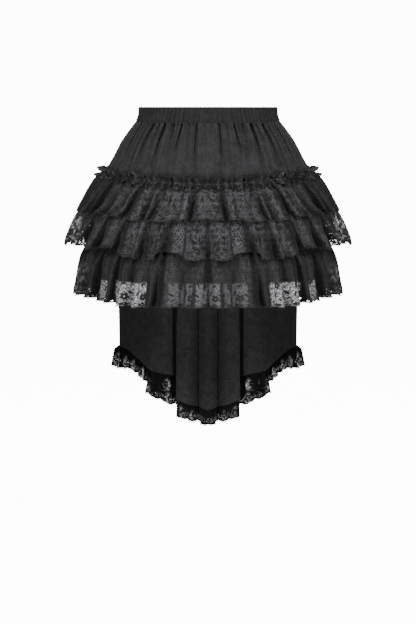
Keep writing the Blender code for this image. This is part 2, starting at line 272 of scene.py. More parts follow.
def machine_lace(name, dark, light, eyelet_alpha, gloss=0.3, painted_grey=PAINTED_PALE_GREY):
    material, tree, shader = new_material(name)
    flat = add_node(tree, "ShaderNodeUVMap", uv_map="flat").outputs["UV"]
    flower, leaf, openness, painted_light, netted, crease = (
        add_node(tree, "ShaderNodeAttribute", attribute_name=name).outputs["Fac"]
        for name in ("flower", "leaf", "openness", "painted_light", "netted", "crease"))
    dense = add_node(tree, "ShaderNodeMath", {0: flower, 1: leaf}, operation="MAXIMUM").outputs[0]
    axes = add_node(tree, "ShaderNodeSeparateXYZ", {0: flat})
    lines = []
    for slope in (NET_SLOPE, -NET_SLOPE):
        slant = add_node(tree, "ShaderNodeMath", {
            0: axes.outputs["Y"], 1: slope, 2: axes.outputs["X"]}, operation="MULTIPLY_ADD")
        count = add_node(tree, "ShaderNodeMath", {
            0: slant.outputs[0], 1: 1000 / NET_PITCH}, operation="MULTIPLY")
        saw = add_node(tree, "ShaderNodeMath", {0: count.outputs[0]}, operation="FRACT")
        lines.append(add_node(tree, "ShaderNodeMath", {
            0: saw.outputs[0], 1: NET_THREAD}, operation="LESS_THAN").outputs[0])
    net = add_node(tree, "ShaderNodeMath", {0: lines[0], 1: lines[1]}, operation="MAXIMUM")
    pores = add_node(tree, "ShaderNodeTexVoronoi", {
        "Vector": flat, "Scale": 1000 / PORE_PITCH}, voronoi_dimensions="2D")
    solid = add_node(tree, "ShaderNodeMath", {
        0: pores.outputs["Distance"], 1: PORE_SHARE}, operation="GREATER_THAN")
    inside = add_node(tree, "ShaderNodeMath", {0: dense, 1: 0.5}, operation="GREATER_THAN")
    threads = add_node(tree, "ShaderNodeMix", {
        0: inside.outputs[0], 2: net.outputs[0], 3: solid.outputs[0]})
    # Eyelets are the places where the net stands open on the flanks. Their radius grows with the
    # openness stored on the mesh. It is nothing at the seam, where the gathers lie close.
    eyelets = add_node(tree, "ShaderNodeTexVoronoi", {
        "Vector": flat, "Scale": 1000 / EYELET_PITCH}, voronoi_dimensions="2D")
    radius = add_node(tree, "ShaderNodeMath", {
        0: openness, 1: EYELET_RADIUS / EYELET_PITCH}, operation="MULTIPLY")
    closed = add_node(tree, "ShaderNodeMath", {
        0: eyelets.outputs["Distance"], 1: radius.outputs[0]}, operation="GREATER_THAN")
    alpha = add_node(tree, "ShaderNodeMapRange", {
        "Value": closed.outputs[0], "To Min": eyelet_alpha, "To Max": 1.0})
    tone = add_node(tree, "ShaderNodeTexNoise", {
        "Vector": flat, "Scale": 1000 / TONE_PITCH, "Detail": 2.0})
    # Ribs run along the strip in low scallops, as rows of stitches do between the motifs.
    arch = add_node(tree, "ShaderNodeMath", {
        0: axes.outputs["X"], 1: math.pi * 1000 / RIB_SCALLOP}, operation="MULTIPLY")
    swing = add_node(tree, "ShaderNodeMath", {0: arch.outputs[0]}, operation="SINE")
    bow = add_node(tree, "ShaderNodeMath", {0: swing.outputs[0]}, operation="ABSOLUTE")
    rise = add_node(tree, "ShaderNodeMath", {
        0: bow.outputs[0], 1: RIB_RISE * MM, 2: axes.outputs["Y"]}, operation="MULTIPLY_ADD")
    beat = add_node(tree, "ShaderNodeMath", {
        0: rise.outputs[0], 1: 2 * math.pi * 1000 / RIB_PITCH}, operation="MULTIPLY")
    rib = add_node(tree, "ShaderNodeMath", {0: beat.outputs[0]}, operation="SINE")
    ribbed = add_node(tree, "ShaderNodeMath", {
        0: rib.outputs[0], 1: RIB_STRENGTH, 2: tone.outputs["Fac"]}, operation="MULTIPLY_ADD")
    # Vines: thin wandering lines, some raised and bright, some sunk between the stitches.
    lines_on = ribbed.outputs[0]
    for shift, strength in VINES:
        moved = add_node(tree, "ShaderNodeVectorMath", {
            0: flat, 1: (shift, shift, 0)}, operation="ADD")
        field = add_node(tree, "ShaderNodeTexNoise", {
            "Vector": moved.outputs[0], "Scale": 1000 / VINE_PITCH, "Detail": 1.0})
        vine = add_node(tree, "ShaderNodeMath", {
            0: field.outputs["Fac"], 1: 0.5, 2: VINE_WIDTH}, operation="COMPARE")
        lines_on = add_node(tree, "ShaderNodeMath", {
            0: vine.outputs[0], 1: strength, 2: lines_on}, operation="MULTIPLY_ADD").outputs[0]
    raised = add_node(tree, "ShaderNodeMath", {
        0: flower, 1: FLOWER_LIGHT, 2: lines_on}, operation="MULTIPLY_ADD")
    mixed = add_node(tree, "ShaderNodeMath", {
        0: leaf, 1: LEAF_SHADE, 2: raised.outputs[0]}, operation="MULTIPLY_ADD")
    ramp = add_node(tree, "ShaderNodeMapRange", {
        "Value": mixed.outputs[0], "From Min": 0.15, "From Max": 0.8})
    # The diamond net stands open only in patches. Elsewhere its threads lie closer.
    least = add_node(tree, "ShaderNodeMapRange", {
        "Value": netted, "To Min": NET_LEAST, "To Max": 0.0})
    cover = add_node(tree, "ShaderNodeMath", {
        0: threads.outputs[0], 1: least.outputs[0]}, operation="MAXIMUM")
    # Painted highlight: the threads of the open net are drawn brighter.
    glint = add_node(tree, "ShaderNodeMath", {
        0: netted, 1: NET_GLINT, 2: ramp.outputs[0]}, operation="MULTIPLY_ADD")
    # Painted shade: the colour is darkened in fold valleys and curls, on the flanks and over
    # whole tiers, where shade falls on the real lace.
    unshaded = add_node(tree, "ShaderNodeMath", {
        0: crease, 1: -PAINTED_SHADE_STRENGTH, 2: 1.0}, operation="MULTIPLY_ADD")
    shown = add_node(tree, "ShaderNodeMath", {
        0: cover.outputs[0], 1: unshaded.outputs[0]}, operation="MULTIPLY")
    lit = add_node(tree, "ShaderNodeMath", {
        0: glint.outputs[0], 1: shown.outputs[0]}, operation="MULTIPLY")
    colour = add_node(tree, "ShaderNodeMix", {
        0: lit.outputs[0], 6: linear(dark), 7: linear(light)}, data_type="RGBA")
    # Painted light: pale patches with the dark net and motifs drawn on them, standing for light
    # seen through the lace where nothing dark lies behind.
    uneven = add_node(tree, "ShaderNodeTexNoise", {
        "Vector": flat, "Scale": 1000 / CLOUD_PITCH})
    cloudy = add_node(tree, "ShaderNodeMapRange", {
        "Value": uneven.outputs["Fac"], "From Min": 0.35, "From Max": 0.62,
        "To Min": 0.5, "To Max": 1.1})
    mesh_tone = add_node(tree, "ShaderNodeMath", {
        0: net.outputs[0], 1: PALE_NET_SHADE, 2: cloudy.outputs[0]}, operation="MULTIPLY_ADD")
    pale = add_node(tree, "ShaderNodeMath", {
        0: mesh_tone.outputs[0], 1: inside.outputs[0]}, operation="SUBTRACT", use_clamp=True)
    # Tiny painted specks of bright light are scattered over the painted pale patches.
    specks = add_node(tree, "ShaderNodeTexVoronoi", {
        "Vector": flat, "Scale": 1000 / SPECK_PITCH}, voronoi_dimensions="2D")
    speck = add_node(tree, "ShaderNodeMath", {
        0: specks.outputs["Distance"], 1: SPECK_SHARE}, operation="LESS_THAN")
    strong = add_node(tree, "ShaderNodeMapRange", {
        "Value": painted_light, "From Min": 0.5, "From Max": 0.75})
    specked = add_node(tree, "ShaderNodeMath", {
        0: speck.outputs[0], 1: strong.outputs[0]}, operation="MULTIPLY")
    speckled = add_node(tree, "ShaderNodeMix", {
        0: specked.outputs[0], 6: linear(painted_grey), 7: linear(PAINTED_LIGHT_SPECK)}, data_type="RGBA")
    patch = add_node(tree, "ShaderNodeMix", {
        0: pale.outputs[0], 6: linear(PALE_MOTIF), 7: speckled.outputs[2]}, data_type="RGBA")
    finished = add_node(tree, "ShaderNodeMix", {
        0: painted_light, 6: colour.outputs[2], 7: patch.outputs[2]}, data_type="RGBA")
    relief = add_node(tree, "ShaderNodeMath", {
        0: dense, 1: 1.5, 2: threads.outputs[0]}, operation="MULTIPLY_ADD")
    bump = add_node(tree, "ShaderNodeBump", {
        "Height": relief.outputs[0], "Strength": 0.5, "Distance": 0.5 * MM})
    tree.links.new(finished.outputs[2], shader.inputs["Base Color"])
    tree.links.new(alpha.outputs[0], shader.inputs["Alpha"])
    tree.links.new(bump.outputs[0], shader.inputs["Normal"])
    shader.inputs["Roughness"].default_value = 0.62
    shader.inputs["Sheen Weight"].default_value = 0.06
    shader.inputs["Specular IOR Level"].default_value = gloss
    return material


lace = machine_lace("black_machine_lace", "#0f0f10", "#515154", 0.72)
# The trim is the same lace drawn much darker, as painted shade, and its medallions get a paler
# grey of painted light.
trim_lace_shaded = machine_lace("black_trim_lace", "#060607", "#161617", 0.88, 0.08, "#b4b4b7")
frill_lace = machine_lace("black_frill_lace", "#0b0b0c", "#4c4c4f", 0.8)
# The edges are worked in twisted polyester thread, a little smoother and brighter than the net.
thread, thread_tree, thread_shader = new_material("black_polyester_thread")
thread_grain = add_node(thread_tree, "ShaderNodeTexNoise", {
    "Vector": add_node(thread_tree, "ShaderNodeTexCoord").outputs["Object"], "Scale": 900.0})
thread_colour = add_node(thread_tree, "ShaderNodeMix", {
    0: thread_grain.outputs["Fac"], 6: linear("#222223"), 7: linear("#3c3c3e")}, data_type="RGBA")
thread_tree.links.new(thread_colour.outputs[2], thread_shader.inputs["Base Color"])
thread_shader.inputs["Roughness"].default_value = 0.5
print("lace and thread ready")

# %% [markdown]
# Cloth round a body is a stack of rings. Each ring has half a width, half a depth in front and
# behind, and a drop below the rim at the side, front and back, and the surface between the
# rings is a smooth curve. These are the sizes that the solids were built from, in millimetres.
# The last number is how far the folds have grown at that ring. Cloth simulation would also
# shape it, but folds listed one by one can stand where those of the real skirt do.

# %% Rings
RIM_HEIGHT = 14.0
Ring = namedtuple("Ring", "wide front back side_drop front_drop back_drop fold")

BAND_RINGS = [
    Ring(128, 90, 91, 0, 0, 0, 0.6),
    Ring(129, 91, 92, 14, 14, 14, 0.8),
    Ring(134, 95, 97, 27.7, 27.7, 27.7, 1),
]
YOKE_RINGS = [
    Ring(134, 95, 97, 28, 28, 28, 1),
    Ring(158, 112, 119, 60, 66, 64, 1),
    Ring(175, 125, 135, 91, 101, 98, 0.7),
    Ring(191, 136, 144, 118, 136, 131, 0.3),
]
BASE_RINGS = [
    Ring(191, 136, 144, 119, 137, 132, 0),
    Ring(200, 150, 163, 305, 308, 308, 0),
]
TIER_1_RINGS = [
    Ring(193.2, 138.2, 146.2, 117.5, 135.5, 130.5, 0),
    Ring(213, 153, 161, 135, 152, 148, 0.6),
    Ring(236, 168, 178, 173, 183, 180, 1.1),
    Ring(244, 173, 183, 188, 198, 195, 1.25),
]
TIER_2_RINGS = [
    Ring(195.6, 141.7, 150.8, 160, 174.7, 170.7, 0.1),
    Ring(240, 152, 160, 190, 204, 199, 0.35),
    Ring(263, 184, 193, 230, 246, 241, 1.1),
    Ring(268, 190, 198, 245, 261, 256, 1.25),
]
TIER_3_RINGS = [
    Ring(198.8, 146.7, 157.6, 226.9, 236.2, 234, 0.1),
    Ring(236, 167, 180, 268, 280, 276, 0.5),
    Ring(251, 175, 190, 324, 331, 328, 1.1),
    Ring(255, 178, 194, 339, 346, 343, 1.25),
]


def through(values, along):
    """A smooth curve through values at 0, 1, 2 and so on, read at each place in along."""
    values = np.asarray(values, float)
    along = np.asarray(along, float)
    low = np.clip(np.floor(along).astype(int), 0, len(values) - 2)
    t = (along - low).reshape(along.shape + (1,) * (values.ndim - 1))
    a, b, c, d = (values[np.clip(low + k, 0, len(values) - 1)] for k in (-1, 0, 1, 2))
    return 0.5 * (2 * b + (c - a) * t + (2 * a - 5 * b + 4 * c - d) * t ** 2
                  + (3 * b - a - 3 * c + d) * t ** 3)


def ring_surface(rings, turn, down, out=0.0, lower=0.0):
    """Points in millimetres at each turn, in degrees from the centre front, and each share of
    the way down, moved outwards and lowered."""
    along = down * (len(rings) - 1)
    wide, front, back, side_drop, front_drop, back_drop, _ = (
        through(column, along) for column in zip(*rings))
    side, ahead = np.sin(np.radians(turn)), np.cos(np.radians(turn))
    depth = np.where(ahead > 0, front, back)
    drop = side_drop + (np.where(ahead > 0, front_drop, back_drop) - side_drop) * ahead ** 2
    normal_x, normal_y = side / wide, -ahead / depth
    length = np.hypot(normal_x, normal_y)
    x = wide * side + out * normal_x / length
    y = -depth * ahead + out * normal_y / length
    return np.stack([x, y, RIM_HEIGHT - drop - lower], axis=-1)


def fold_share(rings, down):
    return through([ring.fold for ring in rings], down * (len(rings) - 1))


print("widest ring:", 2 * max(ring.wide for ring in TIER_2_RINGS), "mm")

# %% [markdown]
# Folds come in two kinds. The large ones are listed in short tables, each with the turn
# of its valley, its depth, and how many degrees the valley leans under the fold beside it. The
# small ones are smooth seeded noise, which is never even. A gathered seam also has fine
# puckers, which die out within a few centimetres.

# %% Folds
Fold = namedtuple("Fold", "turn depth lean")

YOKE_FOLDS = [
    Fold(0, 2.0, 0), Fold(2, 3.4, 0), Fold(4.4, 3.6, 0), Fold(7.4, 8.4, 1.0), Fold(9.6, 4.6, 0),
    Fold(13, 3.6, 0), Fold(15, 6.0, -0.6), Fold(16.8, 4.4, 0), Fold(20.2, 7.2, 0.8),
    Fold(24, 4.2, 0), Fold(26, 6.4, 0.6), Fold(28.4, 5.2, 0), Fold(34, 7.6, 0.8), Fold(40, 4.0, 0),
    Fold(46, 6.8, 0.8), Fold(53, 6.8, -0.6), Fold(58, 4.0, 0), Fold(63, 7.4, 0.8),
    Fold(70, 4.6, 0), Fold(78, 5.6, 0), Fold(84, 3.6, 0), Fold(90, 4.6, 0), Fold(99, 5.0, 0.4),
    Fold(108, 7.2, 0.8), Fold(113, 3.8, 0), Fold(119, 5.4, 0), Fold(128, 7.0, 0.8),
    Fold(134, 4.0, 0), Fold(139, 5.2, 0), Fold(147, 6.8, -0.6), Fold(153, 3.8, 0),
    Fold(158, 6.0, 0.6), Fold(166, 4.0, 0), Fold(171, 7.2, 0.8), Fold(180, 3.8, 0),
]
TIER_1_FOLDS = [
    Fold(0, 11, 0), Fold(6, 19, 1.9), Fold(14.5, 8, -1), Fold(18.5, 10, 1), Fold(23, 18, 1.9),
    Fold(29.5, 17, -1.4), Fold(36, 20, 2.2), Fold(43, 8, 0.7), Fold(50, 14, -1.4),
    Fold(57, 19, 2.2), Fold(64, 10, 1.2), Fold(75, 9, -1.4), Fold(90, 5, 0), Fold(97, 6, 1),
    Fold(104, 13, 1.9), Fold(117, 14, -1.4), Fold(122, 8, 1), Fold(128, 19, 1.9),
    Fold(141, 16, -1.7), Fold(147, 8, 0.7), Fold(153, 19, 1.9), Fold(168, 16, -1.4),
    Fold(174, 8, 0.7), Fold(180, 13, 0),
]
TIER_2_FOLDS = [
    Fold(0, 26, 0), Fold(8, 12, 1), Fold(11.5, 8, -0.7), Fold(16, 23, 1.7), Fold(22.3, 11, -1),
    Fold(26.3, 26, 1.4), Fold(31.8, 12, -1), Fold(37.5, 24, 1.8), Fold(42, 12, -1),
    Fold(48, 22, 1.9), Fold(58, 24, 1.9), Fold(66, 10, -1), Fold(73, 13, 1.2), Fold(82, 5, 0.7),
    Fold(90, 3, 0), Fold(102, 15, 1.9), Fold(109, 9, -1), Fold(116, 23, 1.9),
    Fold(129, 22, -1.7), Fold(134, 12, 0.7), Fold(139, 24, 1.9), Fold(154, 22, -1.7),
    Fold(160, 11, 0.7), Fold(166, 20, 1.7), Fold(180, 23, 0),
]
TIER_3_FOLDS = [
    Fold(0, 20, 0), Fold(7.5, 12, 1), Fold(12.5, 16, -1.2), Fold(21, 21, 1.7),
    Fold(26.4, 14, 1.2), Fold(35.5, 20, -1.7), Fold(42.5, 24, 1.9), Fold(50, 10, -0.7),
    Fold(56, 23, 1.9), Fold(65, 14, 1.2), Fold(76.6, 12, -1), Fold(84, 7, 0.7), Fold(90, 6, 0),
    Fold(98, 7, 0.7), Fold(105, 15, 1.7), Fold(115, 16, -1.4), Fold(122, 10, 0.7),
    Fold(130, 23, 1.9), Fold(144, 21, -1.7), Fold(149, 10, 0.7), Fold(155, 23, 1.9),
    Fold(169, 20, -1.4), Fold(180, 17, 0),
]

# The cut edge of each tier wanders, because a ruffle is gathered unevenly: here a fold hangs
# short, there one is pulled down. Positive values hang lower.
HemDip = namedtuple("HemDip", "turn lower")
TIER_1_HEM = [
    HemDip(0, -3), HemDip(4.8, -0.5), HemDip(5.6, 6), HemDip(7.6, 6), HemDip(8.6, -3),
    HemDip(13, -1.5), HemDip(16.8, -2), HemDip(20, 1.3), HemDip(28, 3), HemDip(36, 2.5),
    HemDip(41, 1.5), HemDip(42, -0.5), HemDip(50, -3), HemDip(55, -2), HemDip(56.5, -4),
    HemDip(64, -1), HemDip(78, 2), HemDip(90, 0), HemDip(104, -1), HemDip(117, 3),
    HemDip(118, 0), HemDip(128, -2), HemDip(141, 3), HemDip(153, -1), HemDip(154, 2),
    HemDip(168, -2), HemDip(180, 1),
]
TIER_2_HEM = [
    HemDip(0, 2.5), HemDip(7.5, 2.2), HemDip(9.5, -3), HemDip(12, -6), HemDip(15.5, -7),
    HemDip(20, -6), HemDip(21.6, -3), HemDip(22.6, 4), HemDip(24.5, 6), HemDip(30, 6),
    HemDip(35.4, 4.5), HemDip(36.6, 0), HemDip(44, -5), HemDip(50, -2), HemDip(58, 4),
    HemDip(66, 0), HemDip(75, 0), HemDip(82, 6), HemDip(90, 6), HemDip(102, 3),
    HemDip(116, 5), HemDip(117, -1), HemDip(129, -4), HemDip(139, 3), HemDip(154, -2),
    HemDip(155, 4), HemDip(166, 1), HemDip(180, -1),
]
TIER_3_HEM = [
    HemDip(0, 3), HemDip(11, 4), HemDip(17, 3), HemDip(21, 6), HemDip(26, 7), HemDip(35, 8),
    HemDip(41.7, 8.5), HemDip(50, 4), HemDip(58, 5.5), HemDip(66, 1), HemDip(78, 3),
    HemDip(90, 3), HemDip(105, 6), HemDip(115, 1), HemDip(130, 6), HemDip(144, 2),
    HemDip(155, 7), HemDip(169, 2), HemDip(180, 4),
]

# How much the folds of each tier spread from the pivot downwards, as a share of their turn. It
# fades out before the side seams, at these turns in degrees.
FAN = {"tier_1": 0.17, "tier_2": 0.12, "tier_3": 0.07}
FAN_PIVOT = 0.6
FAN_END = 78
FAN_FADE = 18
NOISE_LENGTH = 1024
NOISE_SIDE = 128


def fanned(half, down, fan):
    """The turn in the fold tables that each place belongs to: folds spread as they fall."""
    near = np.minimum(half, 180 - half)
    shift = fan * (down - FAN_PIVOT) * near * np.clip((FAN_END - near) / FAN_FADE, 0, 1)
    return np.where(half < 90, half - shift, half + shift)


def half_turn(turn):
    """The turn from the centre front, the same on the left and on the right."""
    return np.degrees(np.arccos(np.clip(np.cos(np.radians(turn)), -1, 1)))


def fold_shape(folds, turn, width=2.5, swell=0.22):
    """How far the cloth lies below its crests, from 0 to minus the depth, and its lean. A fold
    is a narrow valley, width degrees to each side, between broad and slightly swelling crests."""
    out, lean = np.zeros_like(turn), np.zeros_like(turn)
    for fold in folds:
        near = np.exp(-((turn - fold.turn) / width) ** 2)
        out = out - fold.depth * (1 - swell) * near
        lean = lean + fold.lean * near
    turns = [fold.turn for fold in folds]
    i = np.clip(np.searchsorted(turns, turn, side="right") - 1, 0, len(folds) - 2)
    share = np.clip((turn - np.take(turns, i)) / np.take(np.diff(turns), i), 0, 1)
    depth = np.interp(turn, turns, [fold.depth for fold in folds])
    return out - swell * depth * (1 - np.sin(np.pi * share)), lean


def noise(x, seed):
    """Smooth uneven values from -1 to 1 along a line."""
    table = np.random.default_rng(seed).uniform(-1, 1, NOISE_LENGTH)
    low = np.floor(x).astype(int)
    t = x - low
    t = t * t * (3 - 2 * t)
    return table[low % NOISE_LENGTH] * (1 - t) + table[(low + 1) % NOISE_LENGTH] * t


def noise_2(x, y, seed):
    """Smooth uneven values from -1 to 1 over a surface."""
    table = np.random.default_rng(seed).uniform(-1, 1, (NOISE_SIDE, NOISE_SIDE))
    i, j = np.floor(x).astype(int), np.floor(y).astype(int)
    s, t = x - i, y - j
    s, t = s * s * (3 - 2 * s), t * t * (3 - 2 * t)
    i, j, k, m = (place % NOISE_SIDE for place in (i, j, i + 1, j + 1))
    return ((table[i, j] * (1 - s) + table[k, j] * s) * (1 - t)
            + (table[i, m] * (1 - s) + table[k, m] * s) * t)


print("large folds on each half:", len(YOKE_FOLDS), "on the yoke,",
      len(TIER_1_FOLDS), len(TIER_2_FOLDS), len(TIER_3_FOLDS), "on the tiers")

# %% [markdown]
# A sheet is a grid of points. Each column is a place along the hem and each row a share of the
# way down. Its UV map holds the flat cloth in metres, measured along the folds, so that a lace
# pattern bunches up at a gathered seam, as it does on the real ruffle. An automatic unwrap
# wouldn't know how the cloth was cut.

# %% Making a sheet
def along_lengths(points):
    """The length along each row of points up to each of its points, in millimetres."""
    steps = np.linalg.norm(np.diff(points, axis=1), axis=2)
    return np.concatenate([np.zeros((len(points), 1)), np.cumsum(steps, axis=1)], axis=1)


def make_sheet(name, points, flat, material, closed=False, values=None, open_cells=None, wall=0.0):
    """A mesh from a grid of points in millimetres, top row first and anticlockwise from above.
    flat holds each point's place on the flat cloth. Cells marked open are left out."""
    rows, columns = points.shape[:2]
    ids = np.arange(rows * columns).reshape(rows, columns)
    after = np.roll(ids, -1, axis=1) if closed else ids[:, 1:]
    here = ids if closed else ids[:, :-1]
    quads = np.stack([here[1:], after[1:], after[:-1], here[:-1]], axis=-1)
    if open_cells is not None:
        quads = quads[~open_cells]
    quads = quads.reshape(-1, 4)
    used = np.unique(quads)
    renumber = np.zeros(rows * columns, int)
    renumber[used] = np.arange(len(used))
    quads = renumber[quads]
    mesh = bpy.data.meshes.new(name)
    mesh.from_pydata((points.reshape(-1, 3)[used] * MM).tolist(), [], quads.tolist())
    uv = mesh.uv_layers.new(name="flat")
    corners = np.zeros(len(mesh.loops), int)
    mesh.loops.foreach_get("vertex_index", corners)
    uv.data.foreach_set("uv", (flat.reshape(-1, 2)[used][corners] * MM).ravel())
    for key, value in (values or {}).items():
        layer = mesh.attributes.new(key, "FLOAT", "POINT")
        layer.data.foreach_set("value", value.reshape(-1)[used].astype(np.float32))
    mesh.materials.append(material)
    mesh.shade_smooth()
    piece = bpy.data.objects.new(name, mesh)
    bpy.context.scene.collection.objects.link(piece)
    if wall:
        solidify = piece.modifiers.new("wall", "SOLIDIFY")
        solidify.thickness = wall * MM
        solidify.offset = -1
    print(name, len(quads), "quads")
    return piece


def dress(piece, nodes):
    """Attaches a finished sheet to the root body and hides the solids that it takes the place of.
    """
    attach(piece, "root")
    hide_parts(*nodes)


def ring_grid(turn_from, turn_to, columns, rows):
    turn = np.linspace(turn_from, turn_to, columns)
    return np.meshgrid(turn, np.linspace(0, 1, rows))

# %% [markdown]
# The waistband is a casing drawn up by flat elastic. The cloth is about half as long again as
# the elastic, so it stands in close uneven gathers, and the rim stays straight because the
# elastic fills it. Each gather is a narrow pinch at an even beat along a wandering line, which
# is quicker than pleating by hand and never looks ruled.

# %% Waistband
BAND_GATHERS = 92
GATHER_DEPTH = 3.2
GATHER_PINCH = 0.2
GROOVE_DEPTH = 1.3
STITCH_ROW = 0.93
BAND_HEIGHT = 28
BAND_COLUMNS = 736
BAND_ROWS = 13
turn, down = ring_grid(0, 360 - 360 / BAND_COLUMNS, BAND_COLUMNS, BAND_ROWS)
half = half_turn(turn)
wander = half + 0.9 * noise_2(half / 9, down * 1.2, 3)
beat = (wander * BAND_GATHERS / 360 + 0.5) % 1 - 0.5
gathers = -np.exp(-(beat / GATHER_PINCH) ** 2) * GATHER_DEPTH
gathers = gathers * (0.75 + 0.5 * noise_2(half / 5, down * 1.5, 4))
# The casing is stitched below the elastic, which pulls a shallow groove all round.
groove = -GROOVE_DEPTH * np.exp(-((down - STITCH_ROW) / 0.05) ** 2)
big, _ = fold_shape(YOKE_FOLDS, half)
band_points = ring_surface(BAND_RINGS, turn, down,
                           out=gathers + groove + 0.12 * big * fold_share(BAND_RINGS, down))
band_flat = np.stack([along_lengths(band_points)[-1:].repeat(BAND_ROWS, axis=0),
                      -down * BAND_HEIGHT], axis=-1)
waistband = make_sheet("waistband_casing", band_points, band_flat, casing, closed=True, wall=1.0)
dress(waistband, ["waistband"])

# %% [markdown]
# The yoke's front and back are gathered into the waistband. The pleats start close together
# and fan out downwards. A few run all the way to the lace, and the rest fade. They could be
# sculpted, but a table of turns and depths lets each one be set beside the photograph's.

# %% Yoke
YOKE_CELL_ROWS = 44
YOKE_CELL_COLUMNS = 440
YOKE_HEIGHT = 118
YOKE_TURNED_IN = -5.0
YOKE_TURNED_OUT = 2.5
YOKE_SEAM_GAP = 0.02


def yoke_half(name, turn_from, turn_to):
    turn, down = ring_grid(turn_from, turn_to, YOKE_CELL_COLUMNS, YOKE_CELL_ROWS)
    # The second row lies close under the first, so that only a narrow edge is turned in.
    down[1] *= 0.2
    half = half_turn(turn)
    wander = half + 0.8 * noise_2(half / 7, down * 2.0, 11)
    big, lean = fold_shape(YOKE_FOLDS, wander, 1.0 + 1.2 * down, 0.25)
    reach = 0.6 + 0.4 * noise(half / 6, 12)
    fade = 1.55 - 0.95 * np.clip((down - 0.1) / (0.3 + 0.8 * np.clip(reach, 0, 1)), 0, 1)
    pucker = 0.9 * noise(half * 1.1, 13) * np.exp(-down * 7)
    soft = 0.9 * noise_2(half / 4, down * 3, 14) * np.clip(down * 3, 0, 1)
    out = big * fade + pucker + soft * (1 - 0.6 * down)
    # Both seams hold the pleats flat. The top edge is turned in under the casing, and the lower
    # edge is turned out under the first tier.
    out = out * np.clip(down * 20, 0.12, 1) * np.clip((1 - down) * 14, 0, 1)
    out[0], out[-1] = YOKE_TURNED_IN, YOKE_TURNED_OUT
    side = np.sign(np.sin(np.radians(turn)))
    points = ring_surface(YOKE_RINGS, turn + side * lean * fade, down, out=out)
    flat = np.stack([along_lengths(points)[-1:].repeat(len(points), axis=0),
                     -down * YOKE_HEIGHT], axis=-1)
    piece = make_sheet(name, points, flat, knit, wall=0.9)
    return piece, flat[-1, -1, 0] * MM


for side, turn_from, turn_to in (("front", -90, 90), ("back", 90, 270)):
    piece, hem = yoke_half(f"yoke_{side}_cloth", turn_from + YOKE_SEAM_GAP,
                           turn_to - YOKE_SEAM_GAP)
    dress(piece, [f"yoke_{side}"])

# %% [markdown]
# The lace pattern is a small repeat given as a chart: flowers, leaves, and the open slits
# round them. Places are in millimetres on the flat lace. The border row stands on the hem, and
# the field above it repeats in a half drop, so that flowers never stand in plain columns. A
# chart of curves stays sharp at any size, where a picture of lace would blur.

# %% The lace chart
Motif = namedtuple("Motif", "kind along up size turn")
REPEAT = 54.0
FIELD_START = 26
FIELD_RISE = 40.0
EDGE_WIDTH = 1.5
OUTSIDE = -9.0
BORDER = [
    Motif("flower", 13, 12, 9.0, 0), Motif("leaf", 27, 7, 13, 20), Motif("leaf", 25, 17, 12, -35),
    Motif("flower", 40, 13, 8.0, 30), Motif("leaf", 53, 8, 12, -20), Motif("leaf", 52, 19, 12, 40),
    Motif("leaf", 33, 24, 10, 70),
]
FIELD = [
    Motif("flower", 14, 10, 8.0, 15), Motif("leaf", 27, 6, 12, 35), Motif("leaf", 24, 17, 13, -25),
    Motif("leaf", 3, 18, 12, 60), Motif("leaf", 38, 15, 11, 80), Motif("leaf", 46, 6, 11, -50),
    Motif("flower", 42, 28, 5.5, 0), Motif("leaf", 12, 29, 12, 10), Motif("leaf", 27, 31, 10, -60),
    Motif("leaf", 52, 34, 10, 30),
]
SLITS = [
    Motif("slit", 13, 24.0, 4.8, 80), Motif("slit", 26.5, 12.0, 4.8, -10),
    Motif("slit", 1.5, 6.0, 4.4, 10),
]
LEAF_WIDTH = 0.28
SLIT_WIDTH = 0.5
SNAP_STEP = 0.05
SNAP_LIMIT = 0.55


def motif_depth(motif, along, up):
    """How deep each place lies inside a motif, in millimetres; negative outside."""
    x = (along - motif.along + REPEAT / 2) % REPEAT - REPEAT / 2
    y = up - motif.up
    if motif.kind == "flower":
        angle = np.arctan2(y, x) + math.radians(motif.turn)
        edge = motif.size * (0.66 + 0.34 * np.abs(np.cos(2.5 * angle)))
        centre = motif.size * 0.2
        radius = np.hypot(x, y)
        return np.minimum(edge - radius, radius - centre)
    lean = math.radians(motif.turn)
    across = x * math.cos(lean) + y * math.sin(lean)
    over = -x * math.sin(lean) + y * math.cos(lean)
    half_length = motif.size / 2
    half_width = half_length * (SLIT_WIDTH if motif.kind == "slit" else LEAF_WIDTH)
    return half_width * (1 - (across / half_length) ** 2) - np.abs(over)


def lace_chart(along, up):
    """How far each place lies in a flower and in a leaf, each from 0 to 1."""
    depths = {kind: np.full(along.shape, OUTSIDE) for kind in ("flower", "leaf")}
    for motif in BORDER:
        depths[motif.kind] = np.maximum(depths[motif.kind], motif_depth(motif, along, up))
    rise = up - FIELD_START
    field_row = np.floor(rise / FIELD_RISE)
    shifted = along + field_row * REPEAT / 2
    for motif in FIELD:
        inside = motif_depth(motif, shifted, rise - field_row * FIELD_RISE)
        depths[motif.kind] = np.maximum(depths[motif.kind], np.where(rise > 0, inside, OUTSIDE))
    # The cut edge is a firm line of close stitches.
    depths["flower"] = np.maximum(depths["flower"], EDGE_WIDTH - up)
    return {kind: np.clip(0.5 + depth * 0.9, 0, 1) for kind, depth in depths.items()}


def slit_depth(along, up):
    """How deep each place lies inside a slit, in millimetres; negative outside."""
    depth = np.full(along.shape, OUTSIDE)
    for motif in SLITS:
        depth = np.maximum(depth, motif_depth(motif, along, up))
    return depth


